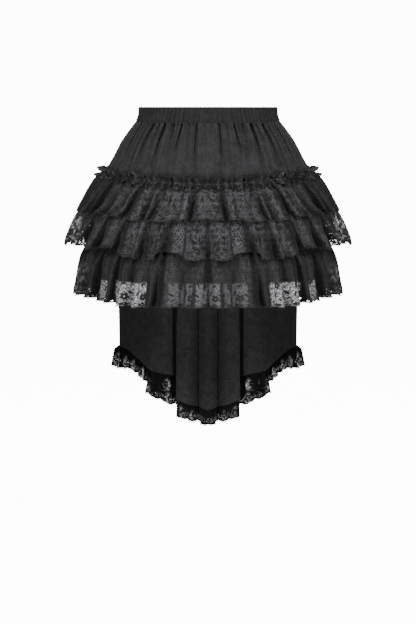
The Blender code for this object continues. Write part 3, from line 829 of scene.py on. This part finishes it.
def snap_to_slits(along, up, cell):
    """How far to move grid points that lie near a slit's edge, so the cut edge is smooth."""
    step = SNAP_STEP
    depth = slit_depth(along, up)
    beyond, before = slit_depth(along + step, up), slit_depth(along - step, up)
    above, below = slit_depth(along, up + step), slit_depth(along, up - step)
    slope_a, slope_u = (beyond - before) / (2 * step), (above - below) / (2 * step)
    steep = np.maximum(np.hypot(slope_a, slope_u), 0.2)
    near = np.abs(depth / steep) < SNAP_LIMIT * cell
    shift = np.where(near, -depth / steep, 0)
    return shift * slope_a / steep, shift * slope_u / steep


print("lace chart:", len(BORDER), "border motifs,", len(FIELD), "field motifs,",
      len(SLITS), "slits in", REPEAT, "mm")

# %% [markdown]
# A lace tier is a ruffle: a strip half as long again as the seam it is gathered on. It springs
# out from the seam, then hangs, and its folds deepen towards the hem. In front and behind, the
# slits of the border are cut in the mesh, because they are wide enough to see through. On the
# flanks small eyelets stand open instead. A cloth simulation would fold by itself, but not
# where the photograph's folds are, so the large folds come from the tables.

# %% Lace tiers
LACE_CELL = 1.8
GATHER_PITCH = 2.7
GATHER_HEIGHT = 2.2
TIER_HEM_WAVE = 1.6
TIER_COLUMNS = 560
TIER_SEAM_GAP = 0.002
SLIT_LEAST = 0.12
# The turns at which the flanks begin, for each thing that changes there, and how softly. The
# slits end, eyelets open, and painted pale light shows. The lace is also drawn darker there
# with painted shade, as the flanks turn away from the light.
Flank = namedtuple("Flank", "start soft")
SLIT_FLANK = Flank(52, 4)
OPEN_FLANK = Flank(55, 8)
PALE_FLANK = Flank(62, 8)
SHADED_FLANK = Flank(28, 30)
FLANK_PAINTED_SHADE = 1.0
Patch = namedtuple("Patch", "turn_from turn_to strength")
# The height of the base's hem, in millimetres. Nothing dark lies behind the lace below it,
# and pale light is painted on the lace only there.
PAINTED_LIGHT_TOP = -294.0
# Turns where two crests meet, in front on the second tier, marked with painted shade.
TUCK_SHADE = [Patch(-1, 1.0, 1.0), Patch(8.2, 9.8, 0.8)]
# Turns on the lowest tier's front where pale light is painted on the lace.
PAINTED_LIGHT_PATCHES = [
    Patch(-1, 4.8, 0.54), Patch(5.8, 8.9, 0.4), Patch(10.2, 16.6, 0.4), Patch(25.9, 44.0, 1.0),
    Patch(49, 52.6, 0.7),
]
# Where the diamond net stands open on each tier, between stretches of closer lace.
NET_PATCHES = {
    "tier_1": [Patch(24, 30, 0.5), Patch(50, 57, 0.6), Patch(96, 104, 0.5), Patch(142, 150, 0.5)],
    "tier_2": [Patch(8.6, 15, 1), Patch(27, 31, 0.7), Patch(38, 47, 0.7), Patch(52, 60, 0.4),
               Patch(101, 110, 0.8), Patch(128, 136, 0.9), Patch(155, 163, 1)],
    "tier_3": [Patch(11, 17, 1), Patch(22, 26, 0.8), Patch(30, 35, 0.6), Patch(44, 50, 0.8),
               Patch(98, 106, 0.8), Patch(122, 130, 0.9), Patch(150, 158, 1)],
}


def patch_share(half, patches, soft):
    """How far each place lies in any of the patches, from 0 to the patch's strength."""
    share = np.zeros_like(half)
    for patch in patches:
        inside = np.minimum(half - patch.turn_from, patch.turn_to - half)
        share = np.maximum(share, patch.strength * np.clip(inside / soft, 0, 1))
    return share


def painted_light_share(half, height, hang):
    """How much pale light is painted on the lowest tier: only below the base's hem, on the crests
    of the folds.
    """
    share = patch_share(half + 0.2 * noise(height / 7, 91), PAINTED_LIGHT_PATCHES, 0.3)
    return share * np.clip((PAINTED_LIGHT_TOP - height) / 1.5, 0, 1) * (hang > 3.0)


def flank_share(half, flank):
    """0 in front and behind and 1 on the flanks."""
    start, soft = flank
    return np.clip((half - start) / soft, 0, 1) * np.clip((180 - start - half) / soft, 0, 1)


def flank_painted_light(half, up, seed):
    """Painted pale light on the outermost flanks, in clumps well above the cut edge."""
    window = np.clip((up - 4) / 4, 0, 1) * np.clip((72 - up) / 12, 0, 1)
    clump = np.clip(0.5 + 2.4 * noise_2(half / 1.3, up / 4.0, seed), 0, 0.9)
    return flank_share(half, PALE_FLANK) * window * clump


def painted_shade_share(half, folds, down):
    """How much painted shade the folds give each place, from 0 on a crest to 1 in the deepest
    valleys.
    """
    depth, _ = fold_shape(folds, half, 2.3, 0.0)
    return np.clip((-depth - 3) / 15, 0, 1) * np.clip(0.35 + down, 0, 1)


def side_openness(half, up, seed):
    """Open eyelets, in patches on the flanks, where the lace is edge on against the light."""
    flank = flank_share(half, OPEN_FLANK)
    height = np.clip((up - 3) / 4, 0, 1) * np.clip((64 - up) / 14, 0, 1)
    return 0.9 * flank * height * np.clip(0.75 + 1.5 * noise_2(half / 2.2, up / 9.0, seed), 0, 1)



Tier = namedtuple("Tier", "name rings folds hem height openness thinness seed")
# The second to last value is painted shade over the whole tier: a little lighter on the second
# tier and darker on the lowest.
TIERS = [
    Tier("tier_1", TIER_1_RINGS, TIER_1_FOLDS, TIER_1_HEM, 78, 0.0, 0.0, 21),
    Tier("tier_2", TIER_2_RINGS, TIER_2_FOLDS, TIER_2_HEM, 97, 0.9, -0.1, 31),
    Tier("tier_3", TIER_3_RINGS, TIER_3_FOLDS, TIER_3_HEM, 116, 0.6, 0.68, 41),
]


def tier_surface(tier, turn, down):
    """Points of a tier in millimetres, with its large and small folds and its uneven hem."""
    seed = tier.seed
    half = half_turn(turn)
    grow = fold_share(tier.rings, np.clip(down, 0, 1))
    stray = 0.8 * noise_2(half / 8, down * 1.4, seed) * down * (1 - down) * 3
    big, lean = fold_shape(tier.folds, fanned(half, down, FAN[tier.name]) + stray)
    small = 1.5 * noise(half / 5.0 + 40, seed + 1) * np.clip(down * 2.2, 0, 1)
    small = small + 0.5 * noise_2(half / 3.0, down * 4.0, seed + 2)
    beat = 2 * np.pi * half / GATHER_PITCH + 2.4 * noise(half / 6, seed + 3)
    pucker = GATHER_HEIGHT * (1 + np.sin(beat)) * np.exp(-down * 3.6)
    ease = np.clip(down * 10, 0, 1)
    out = big * grow + (small + pucker) * ease
    hem = TIER_HEM_WAVE * noise(half / 3, seed + 4)
    hem = hem + np.interp(half, *zip(*tier.hem))
    side = np.sign(np.sin(np.radians(turn)))
    return ring_surface(tier.rings, turn + side * lean * grow, down, out=out,
                        lower=hem * down ** 2)


def tier_half(tier, name, turn_from, turn_to):
    height, seed = tier.height, tier.seed
    turn, down = ring_grid(turn_from, turn_to, TIER_COLUMNS, int(height / LACE_CELL))
    # The flat strip's length is the mean of the rows' lengths, each measured along its folds.
    length = along_lengths(tier_surface(tier, turn, down)).mean(axis=0)
    along = np.broadcast_to(length[None], turn.shape)
    up = (1 - down) * height
    move_along, move_up = snap_to_slits(along, up, LACE_CELL)
    edge = (np.arange(TIER_COLUMNS) == 0) | (np.arange(TIER_COLUMNS) == TIER_COLUMNS - 1)
    fixed = edge[None] | (down == 0) | (down == 1)
    move_along, move_up = np.where(fixed, 0, move_along), np.where(fixed, 0, move_up)
    turn_rate = np.gradient(turn[0]) / np.gradient(length)
    points = tier_surface(tier, turn + move_along * turn_rate[None], down - move_up / height)
    flat = np.stack([along + move_along, up + move_up], axis=-1)
    place = half_turn(turn)
    centre = (flat[1:, 1:] + flat[:-1, :-1] + flat[1:, :-1] + flat[:-1, 1:]) / 4
    opened = slit_depth(centre[..., 0], centre[..., 1]) > SLIT_LEAST
    opened &= (flank_share(place, SLIT_FLANK) < 0.5)[1:, 1:]
    opened[:, :2] = opened[:, -2:] = False
    ragged = place + 1.2 * noise_2(place / 2.5, up / 8.0, seed + 6)
    # At the centre of tier 2 two crests meet in a tuck. Its valley gets no wide painted shade,
    # only a thin dark line of painted shade.
    tucked = name == "tier_2_front_lace"
    shaded_folds = tier.folds[1:] if tucked else tier.folds
    # Painted shade: darker in the fold valleys, at the tuck, on the flanks and by each tier's own
    # amount.
    crease = (painted_shade_share(fanned(place, down, FAN[tier.name]), shaded_folds, down) + tier.thinness
              + tucked * patch_share(place, TUCK_SHADE, 0.5)
              + FLANK_PAINTED_SHADE * flank_share(place, SHADED_FLANK))
    painted_light = painted_light_share(place, points[..., 2], up) * (name == "tier_3_front_lace")
    piece = make_sheet(name, points, flat, lace, open_cells=opened, values={
        **lace_chart(flat[..., 0], flat[..., 1]),
        "netted": patch_share(ragged, NET_PATCHES[tier.name], 1.2),
        "crease": np.clip(crease, 0, 1),
        "openness": tier.openness * side_openness(place, up, seed + 5),
        "painted_light": np.maximum(painted_light, tier.openness * flank_painted_light(place, up, seed + 8))})
    return piece, points[-1], length[-1] * MM


hem_lines = []
for tier in TIERS:
    for side, turn_from, turn_to in (("front", -90, 90), ("back", 90, 270)):
        piece, hem_line, length = tier_half(tier, f"{tier.name}_{side}_lace",
                                            turn_from + TIER_SEAM_GAP, turn_to - TIER_SEAM_GAP)
        dress(piece, [f"{tier.name}_{side}"])
        hem_lines.append(hem_line)

# %% [markdown]
# A curly heading stands on the first tier's seam: the raw top of the ruffle, a centimetre of
# lace above its gathering stitches and as much turned down below them. It is far fuller than
# the ruffle below, so it curls. One wave in and out and another from side to side, both with
# uneven steps, make loops that lean over one another, which a plain ripple can't.

# %% Heading frill
FRILL_CURLS = 90
FRILL_HEIGHT = 23.0
FRILL_ROWS = 16
FRILL_COLUMNS = 1248
FRILL_RINGS = [
    Ring(199, 145, 153, 111, 124, 119, 1),
    Ring(196.5, 142.5, 150.5, 114.5, 130, 125, 0.7),
    Ring(194.5, 139.5, 147.5, 117.5, 135.5, 130.5, 0.1),
    Ring(206.5, 151.5, 159.5, 123.5, 143.5, 138.5, 1),
]
turn, down = ring_grid(0, 360 - 360 / FRILL_COLUMNS, FRILL_COLUMNS, FRILL_ROWS)
half = half_turn(turn)
loose = fold_share(FRILL_RINGS, down)
phase = np.radians(half) * FRILL_CURLS + 2.6 * noise(half / 3.5, 51) + 1.4 * down
curl = (3.8 + 2.8 * noise(half / 1.9, 52)) * np.sin(phase)
curl_side = 1.15 * np.cos(phase + 0.6) * (0.75 + 0.5 * noise(half / 3, 53))
rise = (2.2 * noise(half / 1.6, 54) + 2.0 * np.sin(phase * 2 + 1)) * loose
rise = rise * np.where(down < 0.6, 1, -0.8)
sway = curl_side * loose * np.sign(np.sin(np.radians(turn)))
frill_points = ring_surface(FRILL_RINGS, turn + sway, down, out=(curl + 1.0) * loose, lower=-rise)
frill_length = along_lengths(frill_points).mean(axis=0)
frill_flat = np.stack([np.broadcast_to(frill_length[None], turn.shape), (1 - down) * FRILL_HEIGHT],
                      axis=-1)
frill_edge = np.clip(np.abs(down - 0.55) * 6 - 1.6, 0, 1)
# Painted shade darkens the hollow of each curl.
frill = make_sheet("heading_frill_lace", frill_points, frill_flat, frill_lace, closed=True,
                   values={"flower": frill_edge,
                           "crease": np.clip(0.5 - 0.8 * np.sin(phase), 0, 1)})
dress(frill, ["heading_frill"])

# %% [markdown]
# The plain base carries tiers 2 and 3. Only its straight hem shows, through the lace of the
# lowest tier. It is a quiet sheet with a low ripple, because detail there would never be seen.

# %% Base front
BASE_EDGE = 89.9
BASE_HEIGHT = 180
BASE_COLUMNS = 220
BASE_ROWS = 50
turn, down = ring_grid(-BASE_EDGE, BASE_EDGE, BASE_COLUMNS, BASE_ROWS)
half = half_turn(turn)
ripple = (2.2 * noise(half / 9, 61) + 1.0 * noise_2(half / 5, down * 2, 62)) * down - 1.2 * down
base_points = ring_surface(BASE_RINGS, turn, down, out=ripple)
base_flat = np.stack([along_lengths(base_points)[-1:].repeat(BASE_ROWS, axis=0),
                      -down * BASE_HEIGHT], axis=-1)
base = make_sheet("base_front_cloth", base_points, base_flat, knit, wall=0.9)
dress(base, ["base_front"])

# %% [markdown]
# The back panel hangs from the yoke's back seam. It is cut like a piece of a circle, so its hem
# is far longer than its top and falls into flutes. Each hem point gives the turn on the yoke's
# seam that it hangs from, and its place: across, behind and down. On each half the hem runs
# from the side edge inwards, turns back outwards behind itself in a deep flute that hangs
# lower, and comes forward again to the centre flute, which stands in front. The panel then
# runs smoothly from the seam to that line, which a height above a ring could never do, because
# a flute lies behind itself.

# %% Back panel
HemPoint = namedtuple("HemPoint", "turn across behind drop")
PANEL_HEM = [
    HemPoint(90, 170, 60, 454), HemPoint(100, 158, 92, 466), HemPoint(110, 143, 118, 484),
    HemPoint(120, 128, 134, 502), HemPoint(130, 113, 145, 517), HemPoint(140, 90, 150, 524),
    HemPoint(149, 66, 151, 528), HemPoint(151, 57, 157, 530), HemPoint(152.5, 67, 163, 531),
    HemPoint(154, 96, 165, 532), HemPoint(155.5, 114, 167, 534), HemPoint(156.5, 119, 172, 537),
    HemPoint(157.5, 112, 177, 544), HemPoint(159, 82, 178, 558), HemPoint(160.5, 60, 176, 564),
    HemPoint(161.5, 48, 169, 567), HemPoint(162.5, 45, 158, 569), HemPoint(163.5, 50, 146, 571),
    HemPoint(164.5, 61, 139, 573), HemPoint(165.5, 61, 132, 575), HemPoint(168, 46, 129, 580),
    HemPoint(172.5, 24, 137, 588), HemPoint(175, 16, 141, 590), HemPoint(177.5, 8, 133, 593),
    HemPoint(180, 0, 131, 594),
]
PanelRow = namedtuple("PanelRow", "fall change")
PANEL_ROWS = [
    PanelRow(0, 0), PanelRow(0.13, 0.02), PanelRow(0.28, 0.06), PanelRow(0.46, 0.64),
    PanelRow(0.7, 0.93), PanelRow(1, 1),
]
# Sharp folds of the tail. A negative depth is a ridge, and width is half the fold's, in degrees.
PanelFold = namedtuple("PanelFold", "turn depth width")
PANEL_FOLDS = [
    PanelFold(147.3, -5, 1.7), PanelFold(173.6, 8, 1.3), PanelFold(169.5, -3, 1.5),
    PanelFold(180, -3, 1.6),
]
PANEL_HEIGHT = 450
PANEL_COLUMNS = 400
PANEL_CELL_ROWS = 110


def panel_hem_line(columns):
    """Hem points from the +X edge to the -X edge, evenly spaced along the hem."""
    half_line = through(PANEL_HEM, np.linspace(0, len(PANEL_HEM) - 1, 1200))
    other = half_line[::-1][1:] * (1, -1, 1, 1)
    other[:, 0] = 360 - other[:, 0]
    line = np.concatenate([half_line, other])
    runs = np.concatenate([[0], np.cumsum(np.linalg.norm(np.diff(line[:, 1:], axis=0), axis=1))])
    even = np.linspace(0, runs[-1], columns)
    return np.stack([np.interp(even, runs, line[:, k]) for k in range(4)], axis=-1)


def panel_surface(columns, rows):
    """The panel's points in millimetres, from the yoke's seam to the hem."""
    hem = panel_hem_line(columns)
    along = np.linspace(0, len(PANEL_ROWS) - 1, rows)[:, None]
    fall = np.clip(through([row.fall for row in PANEL_ROWS], along), 0, 1)
    change = np.clip(through([row.change for row in PANEL_ROWS], along), 0, 1)
    top = ring_surface(BASE_RINGS, hem[:, 0], np.zeros(columns))
    hem_points = np.stack([hem[:, 1], hem[:, 2], RIM_HEIGHT - hem[:, 3]], axis=-1)
    plan = top[None, :, :2] + (hem_points - top)[None, :, :2] * change[..., None]
    height = top[None, :, 2] + (hem_points - top)[None, :, 2] * fall
    return np.concatenate([plan, height[..., None]], axis=-1), fall


panel_points, panel_fall = panel_surface(PANEL_COLUMNS, PANEL_CELL_ROWS)
panel_mirror = np.abs(np.linspace(0, 1, PANEL_COLUMNS) - 0.5)[None]
ripple = 2.6 * noise_2(panel_mirror * 34, panel_fall * 1.8, 71) * panel_fall
ripple = ripple + 0.9 * noise_2(panel_mirror * 90, panel_fall * 4.0, 72) * panel_fall
# One ridge stands where the hem first turns back. A valley between two ridges divides the
# centre flute.
hem_turn = half_turn(panel_hem_line(PANEL_COLUMNS)[:, 0])[None]
grown = np.clip((panel_fall - 0.3) / 0.3, 0, 1)
for fold in PANEL_FOLDS:
    ripple = ripple + fold.depth * np.exp(-((hem_turn - fold.turn) / fold.width) ** 2) * grown
panel_points[..., 1] += ripple
panel_length = along_lengths(panel_points).mean(axis=0)[None].repeat(PANEL_CELL_ROWS, axis=0)
panel_drop = np.broadcast_to(-panel_fall * PANEL_HEIGHT, panel_points.shape[:2])
panel_flat = np.stack([panel_length, panel_drop], axis=-1)
panel = make_sheet("back_panel_cloth", panel_points, panel_flat, knit, wall=0.9)
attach(panel, "root")
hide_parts("back_panel")
hem_runs = along_lengths(panel_points)[-1]

# %% [markdown]
# The same lace, narrower and more gathered, edges the back panel. Its lower edge is scalloped,
# one scallop to two waves of the gathers, and it flares away from the hem it is sewn to. It is
# built from the panel's own hem line, so it follows every flute without being fitted.

# %% Panel trim
TRIM_HEIGHT = 39.0
TRIM_SCALLOP = 5.0
TRIM_WAVE = 15.0
TRIM_WAVE_DEPTH = 4.0
TRIM_FLARE = 9.0
TRIM_OVERLAP = 2.5
TRIM_PUCKER = 5.2
TRIM_FULLNESS = 1.35
# How much shorter the trim hangs, at lengths along the hem from the side edge.
Loss = namedtuple("Loss", "run short")
TRIM_LOSS = [
    Loss(0, -1), Loss(22, -3), Loss(45, 3), Loss(75, 11), Loss(105, 7), Loss(150, 5), Loss(330, 5),
    Loss(466, 4),
]
TRIM_ROWS = 22
TRIM_CELL = 1.6
TRIM_MEDALLION = 29.0
MEDALLION_HEIGHT = 11.5
# Where the medallions get painted pale light, at distances across from the centre line.
MEDALLION_BANDS = [Patch(28, 58, 0.7), Patch(64, 104, 0.95), Patch(114, 190, 1.0)]


def trim_surface(run, down, line, line_runs):
    """Points of the trim at lengths along the hem and shares of the way down."""
    total = line_runs[-1]
    half_run = np.minimum(run, total - run)

    def on_hem(at):
        return np.stack([np.interp(at, line_runs, line[:, k]) for k in range(3)], axis=-1)

    top = on_hem(run)
    ahead, back = on_hem(np.minimum(run + 5, total)), on_hem(np.maximum(run - 5, 0))
    course = ahead - back
    length = np.maximum(np.hypot(course[..., 0], course[..., 1]), 1e-6)
    normal = np.stack([course[..., 1] / length, -course[..., 0] / length], axis=-1)
    phase = 2 * np.pi * half_run / TRIM_WAVE + 1.6 * noise(half_run / 23, 81)
    out = TRIM_WAVE_DEPTH * np.sin(phase) * (0.8 + 0.5 * noise(half_run / 31, 82)) * down ** 0.7
    beat = 2 * np.pi * half_run / TRIM_PUCKER + 2.0 * noise(half_run / 17, 85)
    out = out + 1.1 * np.sin(beat) * np.exp(-down * 2.5)
    flare = TRIM_FLARE * np.clip(down * 5, 0, 1) * np.exp(-half_run / 30) * np.sign(top[..., 0])
    flare = flare + 5 * down * top[..., 0] / 170
    scallop = TRIM_SCALLOP * np.abs(np.sin(np.pi * half_run / TRIM_MEDALLION)) ** 0.6 * down ** 2
    shorter = np.interp(half_run, *zip(*TRIM_LOSS))
    fall = (TRIM_HEIGHT - TRIM_SCALLOP - shorter) * down + scallop
    fall = fall + 2.0 * noise(half_run / 27, 84) * down
    return np.stack([top[..., 0] + normal[..., 0] * out + flare,
                     top[..., 1] + normal[..., 1] * out,
                     top[..., 2] + TRIM_OVERLAP - fall], axis=-1)


trim_line = panel_points[-1]
trim_columns = int(hem_runs[-1] * TRIM_FULLNESS / TRIM_CELL)
run, down = np.meshgrid(np.linspace(0, hem_runs[-1], trim_columns), np.linspace(0, 1, TRIM_ROWS))
trim_points = trim_surface(run, down, trim_line, hem_runs)
trim_length = along_lengths(trim_points).mean(axis=0)
up = (1 - down) * TRIM_HEIGHT
trim_flat = np.stack([np.broadcast_to(trim_length[None], run.shape), up], axis=-1)
# Each scallop holds a medallion, filled with painted pale light.
medallion = np.abs(np.sin(np.pi * np.minimum(run, hem_runs[-1] - run) / TRIM_MEDALLION))
medallion = np.clip(3.2 * medallion - 1.3 - np.abs(up - MEDALLION_HEIGHT) / 9, 0, 1)
medallion = medallion * patch_share(np.abs(trim_points[..., 0]), MEDALLION_BANDS, 5.0)
# Painted shade darkens the trim towards its top edge.
trim = make_sheet("panel_trim_lace", trim_points, trim_flat, trim_lace_shaded, values={
    **lace_chart(trim_flat[..., 0], trim_flat[..., 1]),
    "painted_light": medallion, "crease": np.clip(1.1 - 1.6 * down, 0, 1),
    "openness": np.clip(1.5 * down - 0.7, 0, 0.3) * (trim_flat[..., 1] > 4)})
dress(trim, ["panel_trim"])

# %% [markdown]
# Lace ends in picots: small loops of thread along the cut edge. A row of stitches holds the
# casing. Both are the same thing, a short arc of thread repeated along a line, so one node tree
# makes them. It walks the line in equal steps, sets an arc at each, and turns it along the line.
# A loop in the script could copy the arcs too, but the tree's sizes can be changed by hand.

# %% Picots and stitches
sewing = bpy.data.node_groups.new("sewing", "GeometryNodeTree")
socket_kinds = [
    ("Line", "NodeSocketGeometry"), ("Spacing", "NodeSocketFloat"), ("Width", "NodeSocketFloat"),
    ("Bulge", "NodeSocketFloat"), ("Thread", "NodeSocketFloat"), ("Roll", "NodeSocketFloat"),
]
sockets = {label: sewing.interface.new_socket(label, in_out="INPUT", socket_type=kind).identifier
           for label, kind in socket_kinds}
sewing.interface.new_socket("Stitches", in_out="OUTPUT", socket_type="NodeSocketGeometry")
given = add_node(sewing, "NodeGroupInput").outputs
curve = add_node(sewing, "GeometryNodeMeshToCurve", {"Mesh": given["Line"]})
steps = add_node(sewing, "GeometryNodeResampleCurve", {
    "Curve": curve.outputs[0], "Length": given["Spacing"]}, mode="LENGTH")
radius = add_node(sewing, "ShaderNodeMath", {0: given["Width"], 1: 0.5}, operation="MULTIPLY")
arc = add_node(sewing, "GeometryNodeCurveArc", {
    "Resolution": 5, "Radius": radius.outputs[0], "Start Angle": 0.0, "Sweep Angle": -math.pi})
stretch = add_node(sewing, "ShaderNodeCombineXYZ", {0: 1.0, 1: given["Bulge"], 2: 1.0})
roll = add_node(sewing, "ShaderNodeCombineXYZ", {0: given["Roll"]})
loop = add_node(sewing, "GeometryNodeTransform", {
    "Geometry": arc.outputs["Curve"], "Rotation": roll.outputs[0], "Scale": stretch.outputs[0]})
profile = add_node(sewing, "GeometryNodeCurvePrimitiveCircle", {
    "Resolution": 3, "Radius": given["Thread"]})
tube = add_node(sewing, "GeometryNodeCurveToMesh", {
    "Curve": loop.outputs[0], "Profile Curve": profile.outputs["Curve"], "Fill Caps": True})
course = add_node(sewing, "GeometryNodeInputTangent")
facing = add_node(sewing, "FunctionNodeAlignRotationToVector", {"Vector": course.outputs[0]},
                  axis="X", pivot_axis="Z")
size = add_node(sewing, "FunctionNodeRandomValue", {"Seed": 7}, data_type="FLOAT")
# Sockets 2 and 3 are the least and the greatest size; their names stand for vectors too.
size.inputs[2].default_value = 0.85
size.inputs[3].default_value = 1.2
placed = add_node(sewing, "GeometryNodeInstanceOnPoints", {
    "Points": steps.outputs[0], "Instance": tube.outputs[0], "Rotation": facing.outputs[0],
    "Scale": size.outputs[1]})
whole = add_node(sewing, "GeometryNodeRealizeInstances", {0: placed.outputs[0]})
dyed = add_node(sewing, "GeometryNodeSetMaterial", {
    "Geometry": whole.outputs[0], "Material": thread})
add_node(sewing, "NodeGroupOutput", {0: dyed.outputs[0]})


Seam = namedtuple("Seam", "name lines spacing width bulge thick roll slot")


def sew(seam):
    """Repeats an arc of thread along each line of points in millimetres."""
    name = seam.name
    points = np.concatenate(seam.lines) * MM
    ends = np.cumsum([len(line) for line in seam.lines]) - 1
    edges = [(k, k + 1) for k in range(len(points) - 1) if k not in set(ends.tolist())]
    mesh = bpy.data.meshes.new(name)
    mesh.from_pydata(points.tolist(), edges, [])
    piece = bpy.data.objects.new(name, mesh)
    bpy.context.scene.collection.objects.link(piece)
    modifier = piece.modifiers.new("sewing", "NODES")
    modifier.node_group = sewing
    values = {"Spacing": seam.spacing * MM, "Width": seam.width * MM, "Bulge": seam.bulge,
              "Thread": seam.thick * MM, "Roll": math.radians(seam.roll)}
    for label, value in values.items():
        modifier[sockets[label]] = value
    piece.update_tag()
    made = bpy.data.meshes.new_from_object(
        piece.evaluated_get(bpy.context.evaluated_depsgraph_get()))
    piece.modifiers.clear()
    piece.data = made
    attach(piece, "root")
    print(name, len(made.polygons), "faces")


band_turn = np.linspace(0, 360, 400)
band_line = ring_surface(BAND_RINGS, band_turn, np.full_like(band_turn, STITCH_ROW), out=-1.2)
SEAMS = [
    Seam("tier_1_picots", hem_lines[0:2], 3.2, 2.6, 1.1, 0.32, 90, "lace"),
    Seam("tier_2_picots", hem_lines[2:4], 3.2, 2.6, 1.1, 0.32, 90, "lace"),
    Seam("tier_3_picots", hem_lines[4:6], 3.2, 2.6, 1.1, 0.32, 90, "lace"),
    Seam("trim_picots", [trim_points[-1]], 3.2, 2.8, 1.2, 0.34, 90, "lace"),
    Seam("casing_stitches", [band_line], 3.4, 2.4, 0.35, 0.3, 0, "elastic_casing"),
]
for seam in SEAMS:
    sew(seam)
